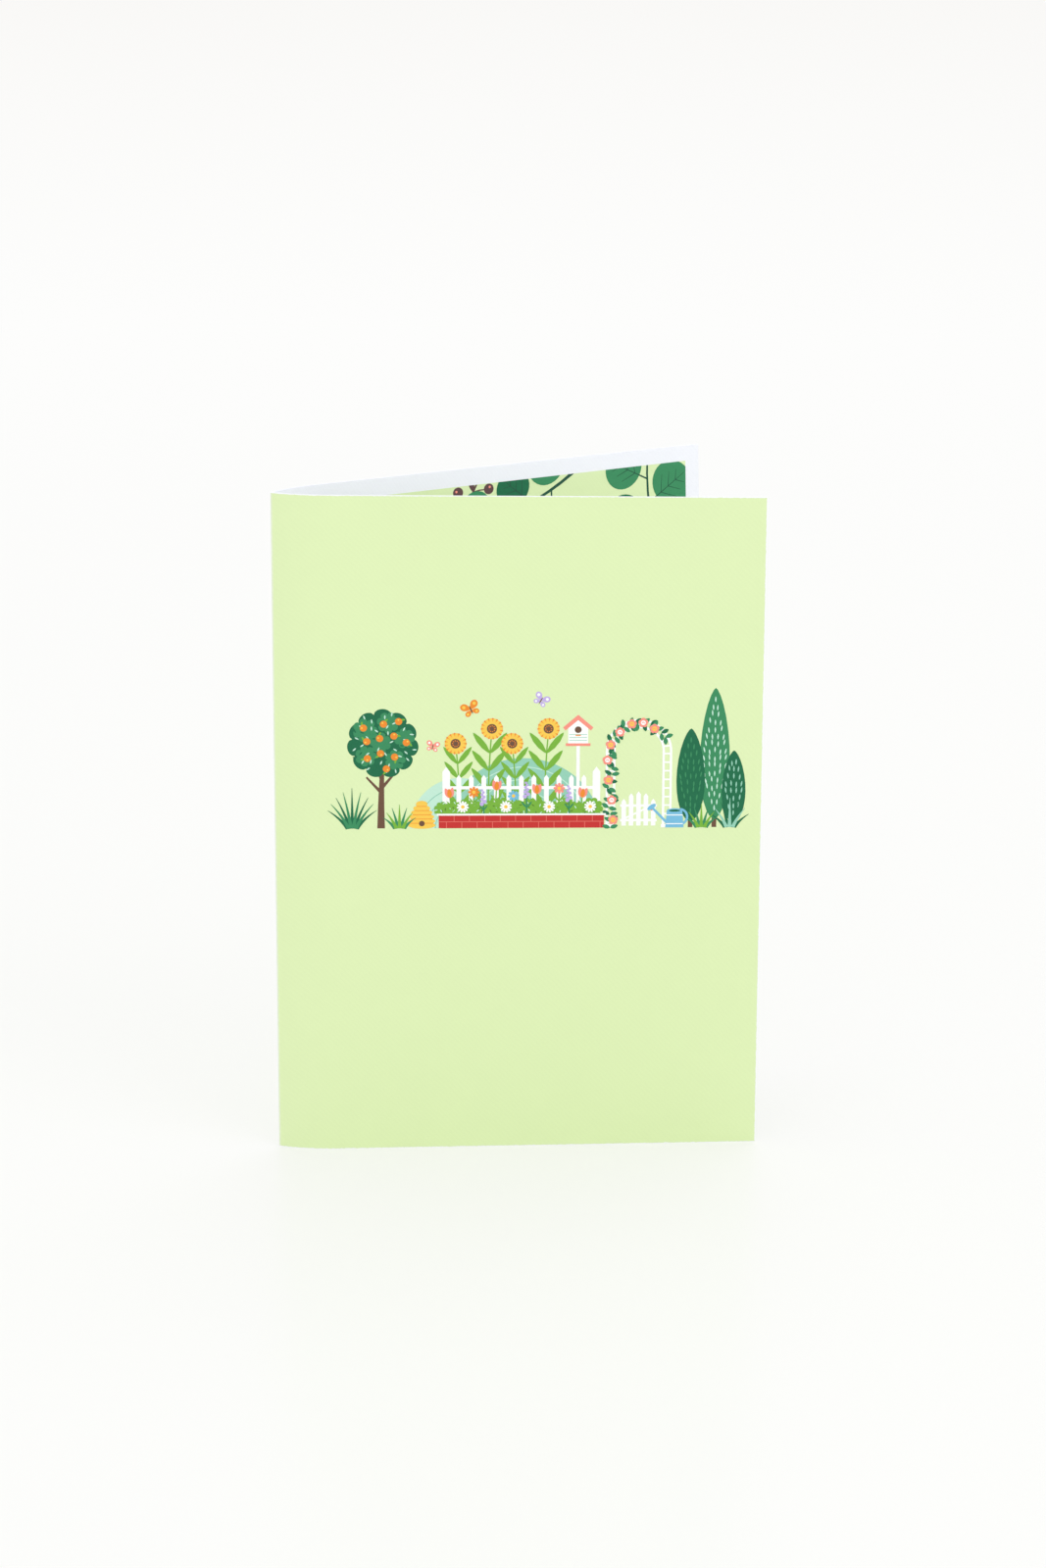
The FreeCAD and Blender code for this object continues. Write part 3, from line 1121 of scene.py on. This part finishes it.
class CARD_OT_flowers(bpy.types.Operator):
    """Prints the hedge and the flowers in front of the fence and behind it"""

    bl_idname = "card.flowers"
    bl_label = "Flowers"

    def execute(self, context):
        ground, start, end = in_millimetres(context.scene.card_garden, "ground", "fence_start", "fence_end")
        dice = random.Random(3)
        art = Drawing()
        for index, x in enumerate(steps(start + 3.5, end - 13.5, 3)):
            tall, bend = 20 + 4.0 * (index % 2), (-6, 5)[index % 2]
            top = flower_stem(art, place(x, ground + SUNFLOWER_FOOT), BEHIND, tall, bend, leaves=4)
            sunflower(art, top, BEHIND + 1)
        art.finish(context, "cover_sunflowers")
        print_motif(context, "cover_hedge", hedge, start - 1, end + 1, ground, dice)
        art = Drawing()
        for index, x in enumerate(steps(start + 1.5, end - 1.5, 13)):
            at = place(x, ground + FLOWER_FOOT, dice.uniform(-7, 7))
            tall, kind = 5.6 + 2.0 * (index * 5 % 3) / 2, index % 4
            if kind == 3:
                lavender(art, at, FRONT, tall)
                continue
            top = flower_stem(art, at, FRONT, tall if kind != 1 else 2.6)
            if kind == 0:
                tulip(art, top @ place(0, -0.5), "coral", "orange", FRONT + 1, 2.9)
            elif kind == 1:
                daisy(art, top, "white", FRONT + 1, 1.6)
            else:
                daisy(art, top, ("orange", "sky", "coral")[index // 4 % 3], FRONT + 1, 1.5, 8)
        trim(art.bm, Y * (ground + WALL_TOP), Y)
        art.finish(context, "cover_flowers")
        return {"FINISHED"}


class CARD_OT_ground(bpy.types.Operator):
    """Prints the garden wall, the tufts of grass, the bee hive, the watering can and the butterflies"""

    bl_idname = "card.ground"
    bl_label = "Wall and garden things"

    def execute(self, context):
        ground, tree, bees, start, end, arch, first = in_millimetres(
            context.scene.card_garden, "ground", "tree", "hive", "fence_start", "fence_end", "arbour",
            "cypresses")
        print_motif(context, "cover_wall", garden_wall, start - 2, end + 2, ground)
        art = Drawing()
        for x, inks, count, height in (
                (tree - 7.5, ("deep", "leaf"), 9, 11), (tree + 4.8, ("leaf", "fresh"), 7, 6.5),
                (first + 2.9, ("leaf", "fresh"), 7, 6.5), (first + 10.3, ("deep", "mist"), 7, 8)):
            tuft(art, place(x, ground), inks, BEHIND + 2, count, height, 1.0)
        art.finish(context, "cover_tufts")
        art = Drawing()
        hive(art, place(bees, ground))
        watering_can(art, place(arch + 9.4, ground))
        art.finish(context, "cover_garden_things")
        art = Drawing()
        for x, y, turn, size, ink, light in (
                (6.5, 32, 24, 1.1, "orange", "yellow"), (24.5, 34.5, -30, 0.95, "lilac", "white"),
                (-3.5, 22, -12, 0.8, "coral", "white")):
            butterfly(art, place(start + x, ground + y, turn, size), ink, light)
        art.finish(context, "cover_butterflies")
        return {"FINISHED"}


class CARD_OT_inside(bpy.types.Operator):
    """Prints the leafy corner of the inside page"""

    bl_idname = "card.inside"
    bl_label = "Inside page"

    def execute(self, context):
        gutter, edge, foot, fold_top, edge_top = field_sides(context.scene.card_sheet)
        width = Fold(context.scene.card_sheet).width
        corner = place(width, CARD_HEIGHT)
        art = Drawing()
        for at in (corner @ place(-75, -17.8, -38), corner @ place(-1, -45.8, 40)):
            berry_twig(art, at, 0, 34, 7)
        round_leaf_branch(art, corner @ place(-9, -37.8, 24), 3, 46, 7, 7.2)
        round_leaf_branch(art, corner @ place(-35, -1.8, 128), 7, 40, 6, 5.6, -1)
        slope = Vector((edge_top - fold_top, -width, 0))
        for point, inwards in ((X * gutter, X), (X * edge, -X), (Y * foot, Y), (Y * fold_top, slope)):
            trim(art.bm, point, inwards)
        art.finish(context, "inside_leaves", inside=True)
        return {"FINISHED"}


class CARD_PT_panel(bpy.types.Panel):
    """Lists the pieces of the card, in the order in which they are made"""

    bl_idname = "CARD_PT_panel"
    bl_label = "Greeting card"
    bl_space_type = "VIEW_3D"
    bl_region_type = "UI"
    bl_category = "Card"

    def draw(self, context):
        for operator in OPERATORS:
            self.layout.operator(operator.bl_idname)
        for name, group in SETTINGS.items():
            box = self.layout.box()
            for setting in group.__annotations__:
                box.prop(getattr(context.scene, name), setting)


SETTINGS = {
    "card_sheet": SheetSettings,
    "card_inks": InkSettings,
    "card_garden": GardenSettings,
    "card_stage": StageSettings,
}
OPERATORS = (
    CARD_OT_stage,
    CARD_OT_board,
    CARD_OT_hills,
    CARD_OT_trees,
    CARD_OT_fence,
    CARD_OT_flowers,
    CARD_OT_ground,
    CARD_OT_inside,
)


def register():
    """Registers the settings, the operators and the panel."""
    for each in (*SETTINGS.values(), *OPERATORS, CARD_PT_panel):
        bpy.utils.register_class(each)
    for name, group in SETTINGS.items():
        setattr(bpy.types.Scene, name, PointerProperty(type=group))


def unregister():
    """Takes away all that register added."""
    for name in SETTINGS:
        delattr(bpy.types.Scene, name)
    for each in reversed((*SETTINGS.values(), *OPERATORS, CARD_PT_panel)):
        bpy.utils.unregister_class(each)


def main():
    """Makes the whole scene."""
    register()
    for operator in OPERATORS:
        family, name = operator.bl_idname.split(".")
        getattr(getattr(bpy.ops, family), name)()


if __name__ == "__main__":
    main()
